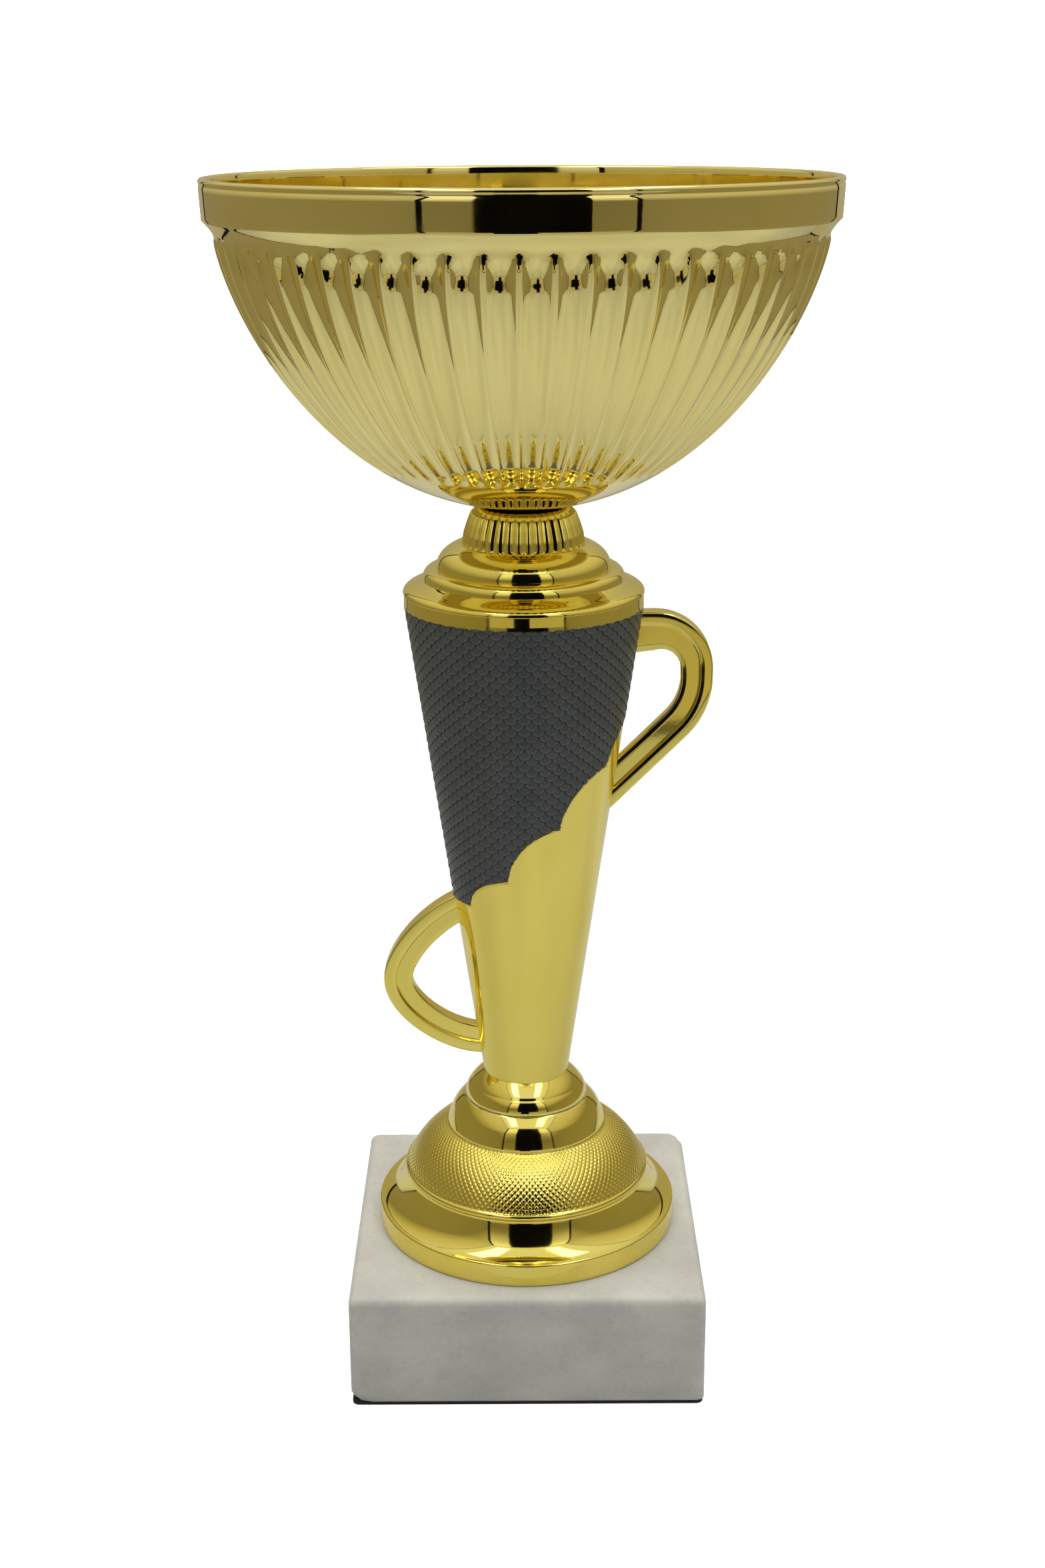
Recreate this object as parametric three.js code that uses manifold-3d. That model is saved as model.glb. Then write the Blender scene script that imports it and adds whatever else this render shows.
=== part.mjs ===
// Cup trophy: a fluted bowl on a tapering two-handled column, a domed riser and a marble block,
// all clamped together by one threaded rod. Millimetres, +Z up, origin at the middle of the underside.
import * as THREE from 'three';
import { mergeVertices } from 'three/addons/utils/BufferGeometryUtils.js';
import Module from 'manifold-3d';

const wasm = await Module();
wasm.setup();

// ---------------------------------------------------------------- driving dimensions
const PAD_THICKNESS = 0.5;
const BLOCK_SIDE = 60;
const BLOCK_HEIGHT = 20;
const BLOCK_CORNER_RADIUS = 1.2;
const BLOCK_TOP_ROUNDING = 1.5;
const BLOCK_TOP = PAD_THICKNESS + BLOCK_HEIGHT;
const COUNTERBORE_RADIUS = 11;
const COUNTERBORE_DEPTH = 9.5;

const ROD_RADIUS = 2.95;
const ROD_BOTTOM = 2.4;
const ROD_TOP = 157;
const ROD_HOLE_RADIUS = 3.3;
const NUT_ACROSS_FLATS = 10;
const NUT_HEIGHT = 5;
const NUT_BORE_RADIUS = 3.15;
const WASHER_THICKNESS = 1;
const SEAT_GAP = 0.02;

const FLANGE_RADIUS = 26.2;
const FLANGE_EDGE_HEIGHT = 4;
const KNURL_BOTTOM = 31.2;
const KNURL_TOP = 38.8;
const KNURL_ARC = { centreRadius: 7.1, centreHeight: 25.2, radius: 15.2 };
const RISER_TOP = 44.35;
const COLLAR_RADIUS = 10.65;
const COLLAR_TOP = 49.05;

const COLUMN_BOTTOM = 49.07;
const COLUMN_TOP = 134.45;
const COLUMN_TAPER_TOP = 133.5;
const COLUMN_BOTTOM_RADIUS = 7.42;
const COLUMN_TOP_RADIUS = 19.65;
const COLUMN_WALL = 2;
const COLUMN_SIDES = 72;
const COAT_TOP = 132.4;
const COAT_THICKNESS = 0.45;
const COAT_GAP = 0.15;
// Corners of the coat's scalloped lower edge: [degrees from the upper handle, height].
const SCALLOP_CORNERS = [[0, 113.6], [31.5, 106.9], [66, 97.5], [101.5, 88.1], [137, 82.3], [180, 81]];
const SCALLOP_ROUNDNESS = 1.8;

const WEB_THICKNESS = 3.2;
const RIM_THICKNESS = 4.6;
const RIM_WIDTH = 2.1;
const UPPER_ARM = { width: 5.2, rootFlare: 2.2 };
const LOWER_ARM = { width: 4.95, rootFlare: 0 };
const HANDLE_GAP = 0.3;
const TAB_THICKNESS = 2.4;
const TAB_HEIGHT = 2.6;
const TAB_LENGTH = 4;
const SLOT_CLEARANCE = 0.25;

const CAP_BOTTOM = COLUMN_TOP + SEAT_GAP;
const CAP_RADIUS = 19.8;
const CAP_SEAT = 142.2;
const NECK_FLUTES = 36;
const NECK_FLUTE_DEPTH = 0.35;
const NECK_TOP = 148.5;

const BOWL_BOTTOM = NECK_TOP + SEAT_GAP;
const BOWL_RIM = 199.85;
const BOWL_RIM_RADIUS = 49.5;
const BOWL_BAND_BOTTOM = 193.6;
const BOWL_BODY_TOP = 191.56;
const BOWL_BODY_RADIUS = 47.72;
const BOWL_BODY_DEPTH = 43.08;
const BOWL_WALL = 0.8;
const BOWL_SEAT_RADIUS = 6.8;

// ---------------------------------------------------------------- geometry helpers

// A radial profile of [radius, height] pairs, closed on itself, turned about Z.
function turned(profile, sides) {
  const points = [...profile, profile[0]].map(([radius, height]) => new THREE.Vector2(radius, height));
  return new THREE.LatheGeometry(points, sides).rotateX(Math.PI / 2);
}

// A quarter of an ellipse that leaves the upper inner point level and reaches the lower outer point upright.
function dome(innerRadius, topHeight, outerRadius, bottomHeight, steps) {
  return Array.from({ length: steps + 1 }, (_, i) => {
    const angle = (Math.PI / 2) * (i / steps);
    const radius = innerRadius + (outerRadius - innerRadius) * Math.cos(angle);
    return [radius, bottomHeight + (topHeight - bottomHeight) * Math.sin(angle)];
  });
}

// Points along a curve in the radial plane.
function along(curve, steps) {
  return curve.getPoints(steps).map((point) => [point.x, point.y]);
}

function bend(start, control, end, steps) {
  const [a, b, c] = [start, control, end].map(([x, y]) => new THREE.Vector2(x, y));
  return along(new THREE.QuadraticBezierCurve(a, b, c), steps);
}

function toSolid(geometry) {
  const plain = geometry.clone();
  plain.deleteAttribute('normal');
  plain.deleteAttribute('uv');
  const merged = mergeVertices(plain, 1e-4);
  const mesh = new wasm.Mesh({
    numProp: 3,
    vertProperties: Float32Array.from(merged.attributes.position.array),
    triVerts: Uint32Array.from(merged.index.array),
  });
  return new wasm.Manifold(mesh);
}

function toGeometry(solid) {
  const mesh = solid.getMesh();
  const geometry = new THREE.BufferGeometry();
  geometry.setAttribute('position', new THREE.BufferAttribute(Float32Array.from(mesh.vertProperties), 3));
  geometry.setIndex(new THREE.BufferAttribute(Uint32Array.from(mesh.triVerts), 1));
  geometry.computeVertexNormals();
  return geometry;
}

// A closed body through a stack of loops with the same number of points, capped at both ends.
function stacked(loops) {
  const count = loops[0].length;
  const positions = loops.flat().flat();
  const index = [];
  for (let level = 0; level < loops.length - 1; level += 1) {
    for (let i = 0; i < count; i += 1) {
      const next = (i + 1) % count;
      const [a, b] = [level * count + i, level * count + next];
      index.push(a, b, b + count, a, b + count, a + count);
    }
  }
  const top = (loops.length - 1) * count;
  for (let i = 1; i < count - 1; i += 1) {
    index.push(0, i + 1, i, top, top + i, top + i + 1);
  }
  const geometry = new THREE.BufferGeometry();
  geometry.setAttribute('position', new THREE.Float32BufferAttribute(positions, 3));
  geometry.setIndex(index);
  geometry.computeVertexNormals();
  return geometry;
}

// A square loop with rounded corners at one height.
function roundedSquare(side, cornerRadius, height, cornerSteps = 5) {
  const reach = side / 2 - cornerRadius;
  const loop = [];
  for (let corner = 0; corner < 4; corner += 1) {
    const start = (corner * Math.PI) / 2;
    const middle = start + Math.PI / 4;
    const [centreX, centreY] = [Math.cos(middle), Math.sin(middle)].map((c) => Math.sign(c) * reach);
    for (let i = 0; i <= cornerSteps; i += 1) {
      const angle = start + (Math.PI / 2) * (i / cornerSteps);
      const [acrossX, acrossY] = [cornerRadius * Math.cos(angle), cornerRadius * Math.sin(angle)];
      loop.push([centreX + acrossX, centreY + acrossY, height]);
    }
  }
  return loop;
}

function upright(radius, bottom, top, sides) {
  return new THREE.CylinderGeometry(radius, radius, top - bottom, sides)
    .rotateX(Math.PI / 2)
    .translate(0, 0, (bottom + top) / 2);
}

function box(x, z, length, thickness, height) {
  return new THREE.BoxGeometry(length, thickness, height).translate(x, 0, z);
}

// ---------------------------------------------------------------- base: pad, marble block, fasteners

function padGeometry() {
  const inset = 0.4;
  const loop = (height) => roundedSquare(BLOCK_SIDE - inset, BLOCK_CORNER_RADIUS, height);
  return stacked([loop(0), loop(PAD_THICKNESS - SEAT_GAP)]);
}

function blockGeometry() {
  const roundingSteps = 3;
  const loops = [roundedSquare(BLOCK_SIDE, BLOCK_CORNER_RADIUS, PAD_THICKNESS)];
  for (let i = 0; i <= roundingSteps; i += 1) {
    const angle = (Math.PI / 2) * (i / roundingSteps);
    const inset = BLOCK_TOP_ROUNDING * (1 - Math.cos(angle));
    const height = BLOCK_TOP - BLOCK_TOP_ROUNDING * (1 - Math.sin(angle));
    loops.push(roundedSquare(BLOCK_SIDE - 2 * inset, BLOCK_CORNER_RADIUS, height));
  }
  const ceiling = PAD_THICKNESS + COUNTERBORE_DEPTH;
  const through = upright(ROD_HOLE_RADIUS + 0.7, 0, BLOCK_TOP + 1, 32);
  const counterbore = upright(COUNTERBORE_RADIUS, -1, ceiling, 40);
  return toGeometry(toSolid(stacked(loops)).subtract(toSolid(through)).subtract(toSolid(counterbore)));
}

function nutGeometry(bottom) {
  const corner = new THREE.Vector2(NUT_ACROSS_FLATS / Math.sqrt(3), 0);
  const middle = new THREE.Vector2(0, 0);
  const turns = Array.from({ length: 6 }, (_, i) => (i * Math.PI) / 3);
  const corners = turns.map((turn) => corner.clone().rotateAround(middle, turn));
  const outline = new THREE.Shape(corners);
  outline.holes.push(new THREE.Path().absarc(0, 0, NUT_BORE_RADIUS, 0, 2 * Math.PI, true));
  const depth = NUT_HEIGHT - SEAT_GAP;
  const nut = new THREE.ExtrudeGeometry(outline, { depth, bevelEnabled: false, curveSegments: 24 });
  return nut.translate(0, 0, bottom);
}

function washerGeometry(outerRadius, bottom) {
  const top = bottom + WASHER_THICKNESS - SEAT_GAP;
  const profile = [
    [ROD_HOLE_RADIUS, bottom],
    [outerRadius, bottom],
    [outerRadius, top],
    [ROD_HOLE_RADIUS, top],
  ];
  return turned(profile, 32);
}

// ---------------------------------------------------------------- riser: knurled base flange and collar

function knurlRadius(height) {
  return KNURL_ARC.centreRadius + Math.sqrt(KNURL_ARC.radius ** 2 - (height - KNURL_ARC.centreHeight) ** 2);
}

function flangeGeometry() {
  const edgeTop = BLOCK_TOP + FLANGE_EDGE_HEIGHT;
  const coveTop = KNURL_BOTTOM - 1.3;
  const footRadius = knurlRadius(KNURL_BOTTOM);
  const crownRadius = knurlRadius(KNURL_TOP);
  const beadRadius = footRadius + 0.4;
  const coveMiddle = [FLANGE_RADIUS - 4, edgeTop + 2.1];
  const crownShoulder = [crownRadius - 0.5, KNURL_TOP + 2.9];
  const knurlSteps = 6;
  const knurl = Array.from({ length: knurlSteps + 1 }, (_, i) => {
    const height = KNURL_BOTTOM + (KNURL_TOP - KNURL_BOTTOM) * Math.sin((Math.PI / 2) * (i / knurlSteps));
    return [knurlRadius(height), height];
  });
  const outside = [
    [FLANGE_RADIUS, BLOCK_TOP + SEAT_GAP],
    [FLANGE_RADIUS, edgeTop - 0.3],
    ...bend([FLANGE_RADIUS - 0.35, edgeTop], coveMiddle, [footRadius, coveTop], 4),
    [beadRadius, coveTop + 0.5],
    [beadRadius, KNURL_BOTTOM - 0.3],
    ...knurl,
    ...bend([crownRadius, KNURL_TOP + 0.2], crownShoulder, [COLLAR_RADIUS, RISER_TOP], 5),
  ];
  const wall = 2;
  const shoulder = KNURL_BOTTOM + 2.4;
  const inside = [
    [ROD_HOLE_RADIUS, RISER_TOP],
    [ROD_HOLE_RADIUS, RISER_TOP - wall],
    [COLLAR_RADIUS, RISER_TOP - wall - 0.2],
    [crownRadius - wall, KNURL_TOP - 1.6],
    [knurlRadius(shoulder) - wall, shoulder],
    [footRadius - wall, coveTop - 0.9],
    [FLANGE_RADIUS - wall, edgeTop - 1.1],
    [FLANGE_RADIUS - wall, BLOCK_TOP + SEAT_GAP],
  ];
  return turned([...outside, ...inside], 48);
}

function collarGeometry() {
  const bottom = RISER_TOP + SEAT_GAP;
  const hollow = [COLLAR_RADIUS - 0.45, bottom + 2];
  const curve = bend([COLLAR_RADIUS, bottom + 0.3], hollow, [COLUMN_BOTTOM_RADIUS - 0.1, COLLAR_TOP], 6);
  const inside = [
    [ROD_HOLE_RADIUS, COLLAR_TOP],
    [ROD_HOLE_RADIUS, COLLAR_TOP - 2],
    [6.4, COLLAR_TOP - 2.6],
    [8.6, bottom],
  ];
  return turned([[COLLAR_RADIUS, bottom], ...curve, ...inside], 36);
}

// ---------------------------------------------------------------- column, its dark coat and its handles

const TAPER = (COLUMN_TOP_RADIUS - COLUMN_BOTTOM_RADIUS) / (COLUMN_TAPER_TOP - COLUMN_BOTTOM);

function columnRadius(height) {
  return COLUMN_BOTTOM_RADIUS + TAPER * (height - COLUMN_BOTTOM);
}

// Height of the coat's lower edge at an angle from the upper handle, the same on both sides of the column.
function coatEdge(degrees) {
  const angle = Math.min(Math.abs(degrees), 180);
  const last = SCALLOP_CORNERS.length - 1;
  const low = Math.max(1, SCALLOP_CORNERS.findIndex(([corner], i) => corner >= angle || i === last));
  const [[highAngle, highest], [lowAngle, lowest]] = [SCALLOP_CORNERS[low - 1], SCALLOP_CORNERS[low]];
  const left = (angle - highAngle) / (lowAngle - highAngle);
  const rise = (1 - left ** SCALLOP_ROUNDNESS) ** (1 / SCALLOP_ROUNDNESS);
  return lowest + (highest - lowest) * rise;
}

// A conical band round the column between two depths below its surface, from the scalloped edge up.
function coatBand(innerDepth, outerDepth, growth) {
  const top = COAT_TOP + growth;
  const corners = [];
  for (let i = 0; i < COLUMN_SIDES; i += 1) {
    const turn = (i / COLUMN_SIDES) * 2 * Math.PI;
    const degrees = THREE.MathUtils.euclideanModulo(THREE.MathUtils.radToDeg(turn) + 90, 360) - 180;
    const bottom = coatEdge(degrees) - growth;
    const section = [[innerDepth, bottom], [outerDepth, bottom], [outerDepth, top], [innerDepth, top]];
    for (const [depth, height] of section) {
      const radius = columnRadius(height) - depth;
      corners.push(radius * Math.sin(turn), -radius * Math.cos(turn), height);
    }
  }
  const index = [];
  for (let i = 0; i < COLUMN_SIDES; i += 1) {
    const next = (i + 1) % COLUMN_SIDES;
    for (let side = 0; side < 4; side += 1) {
      const after = (side + 1) % 4;
      const [a, b, c, d] = [4 * i + side, 4 * next + side, 4 * next + after, 4 * i + after];
      index.push(a, b, c, a, c, d);
    }
  }
  const geometry = new THREE.BufferGeometry();
  geometry.setAttribute('position', new THREE.Float32BufferAttribute(corners, 3));
  geometry.setIndex(index);
  geometry.computeVertexNormals();
  return geometry;
}

// Each tab: where a handle root passes through the column wall, [side, height].
const UPPER_TABS = [[1, 128], [1, 101.2]];
const LOWER_TABS = [[-1, 79], [-1, 56.2]];

function tab([side, height], growth) {
  const x = side * (columnRadius(height) + HANDLE_GAP + 0.3 - TAB_LENGTH / 2);
  const [length, thickness, tall] = [TAB_LENGTH, TAB_THICKNESS, TAB_HEIGHT].map((size) => size + 2 * growth);
  return toSolid(box(x, height, length, thickness, tall));
}

function withSlots(solid, tabs) {
  return tabs.reduce((body, place) => body.subtract(tab(place, SLOT_CLEARANCE)), solid);
}

function columnGeometry() {
  const floor = COLUMN_BOTTOM + COLUMN_WALL;
  const profile = [
    [ROD_HOLE_RADIUS, COLUMN_BOTTOM],
    [COLUMN_BOTTOM_RADIUS, COLUMN_BOTTOM],
    [COLUMN_TOP_RADIUS, COLUMN_TAPER_TOP],
    [CAP_RADIUS, COLUMN_TAPER_TOP + 0.3],
    [CAP_RADIUS, COLUMN_TOP],
    [CAP_RADIUS - COLUMN_WALL, COLUMN_TOP],
    [columnRadius(floor) - COLUMN_WALL, floor],
    [ROD_HOLE_RADIUS, floor],
  ];
  const recess = coatBand(COAT_THICKNESS + COAT_GAP, -2, COAT_GAP);
  const body = toSolid(turned(profile, COLUMN_SIDES)).subtract(toSolid(recess));
  return toGeometry(withSlots(body, [...UPPER_TABS, ...LOWER_TABS]));
}

function coatGeometry() {
  return toGeometry(withSlots(toSolid(coatBand(COAT_THICKNESS, 0, 0)), UPPER_TABS));
}

// Outer edge of the upper handle's arm: level, round the corner, down, then back in at 45 degrees.
function upperHandleEdge() {
  const [top, reach, cornerRadius, elbowRadius] = [131.35, 31.25, 9.5, 14];
  const elbow = new THREE.Vector2(reach - elbowRadius, 119.55);
  const path = new THREE.Path().moveTo(15, top);
  path.lineTo(reach - cornerRadius, top);
  path.absarc(reach - cornerRadius, top - cornerRadius, cornerRadius, Math.PI / 2, 0, true);
  path.absarc(elbow.x, elbow.y, elbowRadius, 0, -Math.PI / 4, true);
  const tip = elbow.x + elbowRadius * Math.SQRT1_2;
  const run = tip - 9;
  path.lineTo(tip - run, elbow.y - elbowRadius * Math.SQRT1_2 - run);
  return path;
}

// Outer edge of the lower handle's arm, drawn towards +X and mirrored when it is placed.
function lowerHandleEdge() {
  const [root, nose, foot] = [[8.7, 83.7], [24.5, 67], [4, 53.2]];
  const path = new THREE.Path().moveTo(...root);
  path.bezierCurveTo(15.9, 82.2, nose[0], 73.3, ...nose);
  path.bezierCurveTo(nose[0], 59.5, 13.1, 52, ...foot);
  return path;
}

// The same edge moved inwards, as points. The flare widens the arm towards its upper root.
function moved(path, steps, { width, rootFlare }) {
  const flareEnd = 0.42;
  return Array.from({ length: steps + 1 }, (_, i) => {
    const point = path.getPointAt(i / steps);
    const direction = path.getTangentAt(i / steps);
    const distance = width + rootFlare * Math.max(0, 1 - i / steps / flareEnd) ** 1.5;
    return new THREE.Vector2(point.x + direction.y * distance, point.y - direction.x * distance);
  });
}

function strip(edge, steps, size, thickness) {
  const outer = moved(edge, steps, { width: 0, rootFlare: 0 });
  const outline = [...outer, ...moved(edge, steps, size).reverse()];
  const shape = new THREE.Shape(outline);
  const plate = new THREE.ExtrudeGeometry(shape, { depth: thickness, bevelEnabled: false, steps: 1 });
  return toSolid(plate.rotateX(Math.PI / 2).translate(0, thickness / 2, 0));
}

function handleGeometry(edge, armSize, mirrored, tabs) {
  const steps = 34;
  const web = strip(edge, steps, armSize, WEB_THICKNESS);
  const arm = web.add(strip(edge, steps, { width: RIM_WIDTH, rootFlare: 0 }, RIM_THICKNESS));
  const side = mirrored ? arm.mirror([1, 0, 0]) : arm;
  const [low, high] = [COLUMN_BOTTOM - 4, COLUMN_TOP + 4];
  const profile = [
    [0.5, low],
    [columnRadius(low) + HANDLE_GAP, low],
    [columnRadius(high) + HANDLE_GAP, high],
    [0.5, high],
  ];
  const clear = side.subtract(toSolid(turned(profile, COLUMN_SIDES))).decompose();
  const outside = clear.reduce((most, piece) => (piece.volume() > most.volume() ? piece : most));
  return toGeometry(tabs.reduce((body, place) => body.add(tab(place, 0)), outside));
}

// ---------------------------------------------------------------- cap, neck and bowl

function capGeometry() {
  const [beadOuter, beadBottom, beadTop] = [16.4, CAP_BOTTOM + 2.23, CAP_BOTTOM + 4.18];
  const shoulder = [CAP_RADIUS - 0.5, CAP_BOTTOM + 1.48];
  const [seatEdge, domeFoot] = [10.2, 14.2];
  const crown = dome(7.87, CAP_SEAT + 0.84, domeFoot, beadTop + 0.1, 7);
  const outside = [
    ...bend([CAP_RADIUS, CAP_BOTTOM], shoulder, [beadOuter, beadBottom], 4),
    ...dome(15.3, beadTop, beadOuter, beadBottom + 0.3, 3),
    ...crown.filter(([radius]) => radius > seatEdge + 0.1),
    [seatEdge, CAP_SEAT],
  ];
  const skirtRadius = CAP_RADIUS - COLUMN_WALL - 0.4;
  const skirtBottom = CAP_BOTTOM - 2.87;
  const inside = [
    [ROD_HOLE_RADIUS, CAP_SEAT],
    [ROD_HOLE_RADIUS, CAP_SEAT - 2],
    [9, CAP_SEAT - 2.2],
    [12.4, CAP_BOTTOM + 2.53],
    [15.2, CAP_BOTTOM + 0.13],
    [15.6, skirtBottom],
    [skirtRadius - 0.3, skirtBottom],
    [skirtRadius, CAP_BOTTOM],
  ];
  return turned([...outside, ...inside], 40);
}

function neckGeometry() {
  const bottom = CAP_SEAT + SEAT_GAP;
  const waist = [[9.95, 0], [9.9, 1.7], [9.27, 3.8], [8.64, 5.4]];
  const points = waist.map(([radius, rise]) => new THREE.Vector2(radius, bottom + rise));
  const curve = new THREE.SplineCurve([...points, new THREE.Vector2(7.3, NECK_TOP)]);
  const socketRadius = 5;
  const inside = [
    [ROD_HOLE_RADIUS, NECK_TOP],
    [ROD_HOLE_RADIUS, NECK_TOP - 2],
    [socketRadius, NECK_TOP - 2],
    [socketRadius, bottom],
  ];
  const geometry = turned([...along(curve, 6), ...inside], 2 * NECK_FLUTES);
  const position = geometry.attributes.position;
  for (let i = 0; i < position.count; i += 1) {
    const [x, y, z] = [position.getX(i), position.getY(i), position.getZ(i)];
    const wave = 0.5 - 0.5 * Math.cos(NECK_FLUTES * Math.atan2(x, -y));
    const depth = Math.hypot(x, y) > socketRadius + 1 ? NECK_FLUTE_DEPTH * wave : 0;
    const factor = 1 - depth / Math.hypot(x, y);
    position.setXYZ(i, x * factor, y * factor, z);
  }
  return geometry;
}

// The bowl's body: a deep rounded curve, from its upper edge down towards the middle.
function bowlBody(inset, steps) {
  const lowest = 0.905;
  return Array.from({ length: steps + 1 }, (_, i) => {
    const angle = (Math.PI / 2) * lowest * (1 - i / steps);
    const radius = (BOWL_BODY_RADIUS - inset) * Math.cos(angle) ** 0.93;
    return [radius, BOWL_BODY_TOP - (BOWL_BODY_DEPTH - inset) * Math.sin(angle) ** 1.404];
  });
}

function bowlGeometry() {
  const bandInset = 0.25;
  const outside = [
    [ROD_HOLE_RADIUS, BOWL_BOTTOM],
    [BOWL_SEAT_RADIUS, BOWL_BOTTOM],
    ...bowlBody(0, 10),
    [BOWL_BODY_RADIUS + 0.5, BOWL_BODY_TOP + 1],
    [BOWL_RIM_RADIUS - bandInset, BOWL_BAND_BOTTOM],
    [BOWL_RIM_RADIUS, BOWL_RIM],
  ];
  const inside = [
    [BOWL_RIM_RADIUS - BOWL_WALL, BOWL_RIM],
    [BOWL_RIM_RADIUS - bandInset - BOWL_WALL, BOWL_BAND_BOTTOM + 0.2],
    ...bowlBody(BOWL_WALL, 10).reverse(),
    [BOWL_SEAT_RADIUS - 0.1, BOWL_BOTTOM + BOWL_WALL],
    [ROD_HOLE_RADIUS, BOWL_BOTTOM + BOWL_WALL],
  ];
  return turned([...outside, ...inside], 48);
}

// ---------------------------------------------------------------- materials and assembly

const finishes = {
  gold: { color: 0xd9b83a, roughness: 0.12, metalness: 1 },
  marble: { color: 0xe6e4e0, roughness: 0.55, metalness: 0 },
  coat: { color: 0x3e4244, roughness: 0.6, metalness: 0.1 },
  steel: { color: 0xb9bcc0, roughness: 0.35, metalness: 1 },
  felt: { color: 0x2b2b2c, roughness: 0.95, metalness: 0 },
};

const trophy = new THREE.Group();

function addPart(name, geometry, finish) {
  const mesh = new THREE.Mesh(geometry, new THREE.MeshStandardMaterial(finishes[finish]));
  mesh.name = name;
  trophy.add(mesh);
}

const counterboreCeiling = PAD_THICKNESS + COUNTERBORE_DEPTH;
const bowlFloor = BOWL_BOTTOM + BOWL_WALL + SEAT_GAP;

addPart('base_pad', padGeometry(), 'felt');
addPart('marble_base', blockGeometry(), 'marble');
addPart('bottom_washer', washerGeometry(9, counterboreCeiling - WASHER_THICKNESS), 'steel');
addPart('bottom_nut', nutGeometry(counterboreCeiling - WASHER_THICKNESS - NUT_HEIGHT), 'steel');
addPart('threaded_rod', upright(ROD_RADIUS, ROD_BOTTOM, ROD_TOP, 24), 'steel');
addPart('base_flange', flangeGeometry(), 'gold');
addPart('stem_collar', collarGeometry(), 'gold');
addPart('column', columnGeometry(), 'gold');
addPart('column_coat', coatGeometry(), 'coat');
addPart('upper_handle', handleGeometry(upperHandleEdge(), UPPER_ARM, false, UPPER_TABS), 'gold');
addPart('lower_handle', handleGeometry(lowerHandleEdge(), LOWER_ARM, true, LOWER_TABS), 'gold');
addPart('column_cap', capGeometry(), 'gold');
addPart('fluted_neck', neckGeometry(), 'gold');
addPart('bowl', bowlGeometry(), 'gold');
addPart('bowl_washer', washerGeometry(BOWL_SEAT_RADIUS - 0.6, bowlFloor), 'steel');
addPart('bowl_nut', nutGeometry(bowlFloor + WASHER_THICKNESS), 'steel');

export default trophy;
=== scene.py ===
"""Looks for the cup trophy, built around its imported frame.

Lengths inside the shape code are millimetres in the row frame: +Z up, the camera side is -Y.
Angles round the axis start at the camera side and grow towards +X, the upper handle's side.
"""

import math

import bmesh
import bpy
import numpy as np
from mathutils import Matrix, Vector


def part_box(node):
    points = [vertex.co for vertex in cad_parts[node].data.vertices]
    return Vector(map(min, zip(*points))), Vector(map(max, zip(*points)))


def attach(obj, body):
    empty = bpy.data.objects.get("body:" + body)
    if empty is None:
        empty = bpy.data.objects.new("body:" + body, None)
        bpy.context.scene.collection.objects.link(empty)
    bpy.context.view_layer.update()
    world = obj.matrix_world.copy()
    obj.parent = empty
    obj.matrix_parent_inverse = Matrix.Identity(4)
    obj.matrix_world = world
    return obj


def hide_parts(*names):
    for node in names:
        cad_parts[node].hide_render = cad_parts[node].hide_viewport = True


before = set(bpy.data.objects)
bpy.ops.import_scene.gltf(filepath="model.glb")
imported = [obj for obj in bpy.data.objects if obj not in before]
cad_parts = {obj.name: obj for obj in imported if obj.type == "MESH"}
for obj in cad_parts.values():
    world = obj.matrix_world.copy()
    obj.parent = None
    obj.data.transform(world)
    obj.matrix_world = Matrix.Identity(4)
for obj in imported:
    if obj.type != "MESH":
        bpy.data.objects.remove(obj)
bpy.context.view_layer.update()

MM = 0.001
TURN = 2 * math.pi


def box_mm(node):
    """Lowest and highest corner of a CAD node, in millimetres."""
    low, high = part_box(node)
    return np.array(low) / MM, np.array(high) / MM


block_low, block_high = box_mm("marble_base")
flange_low, flange_high = box_mm("base_flange")
collar_low, collar_high = box_mm("stem_collar")
column_low, column_high = box_mm("column")
_, coat_high = box_mm("column_coat")
_, cap_high = box_mm("column_cap")
neck_low, neck_high = box_mm("fluted_neck")
bowl_low, bowl_high = box_mm("bowl")
nut_low, nut_high = box_mm("bowl_nut")
rod_low, rod_high = box_mm("threaded_rod")
_, upper_high = box_mm("upper_handle")
lower_low, lower_high = box_mm("lower_handle")

# Gap between faces that touch, so that neither shows through the other.
CLEARANCE = 0.02
RISER_TOP = flange_high[2]
COLUMN_BOTTOM = column_low[2]
COLUMN_TOP = column_high[2]
CAP_BOTTOM = COLUMN_TOP + CLEARANCE
BOWL_BOTTOM = bowl_low[2]
BOWL_RIM = bowl_high[2]
ROD_RADIUS = rod_high[0]
BORE = ROD_RADIUS + 0.35


# ---------------------------------------------------------------- meshes from grids of points

def tidy_piece(name, mesh, crease):
    """Turns the faces outwards, shades them smooth up to the crease angle and links the piece."""
    body = bmesh.new()
    body.from_mesh(mesh)
    bmesh.ops.recalc_face_normals(body, faces=body.faces)
    body.to_mesh(mesh)
    body.free()
    mesh.shade_smooth()
    mesh.set_sharp_from_angle(angle=math.radians(crease))
    piece = bpy.data.objects.new(name, mesh)
    bpy.context.scene.collection.objects.link(piece)
    return piece


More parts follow.
